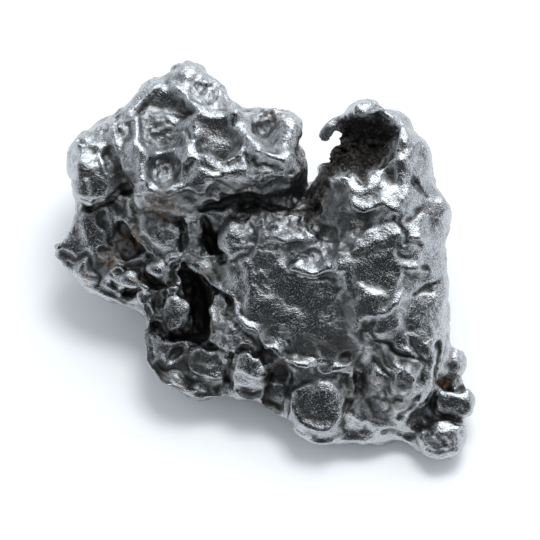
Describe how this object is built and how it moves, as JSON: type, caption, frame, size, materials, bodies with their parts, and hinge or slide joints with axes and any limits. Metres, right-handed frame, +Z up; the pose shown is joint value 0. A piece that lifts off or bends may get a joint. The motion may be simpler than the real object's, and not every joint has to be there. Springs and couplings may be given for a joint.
{
  "type": "iron meteorite",
  "caption": "Hand-sized iron meteorite of bare, tumbled metal: a lumpy, pitted piece with a deep notch, a dark scoop and knobs along its lower edge.",
  "frame": {"origin": "under the middle of the stone, on the ground it rests on", "axes": "+Z up; +X to the right of the show face; -Y towards the viewer, where the show face leans back and looks up at 60 degrees"},
  "size_m": [0.0852, 0.0782, 0.0426],
  "materials": {
    "nickel_iron": "bare metal, tumbled bright, with dark pits and a few specks of rust"
  },
  "bodies": {
    "root": {"meteorite": "nickel_iron"}
  },
  "joints": []
}
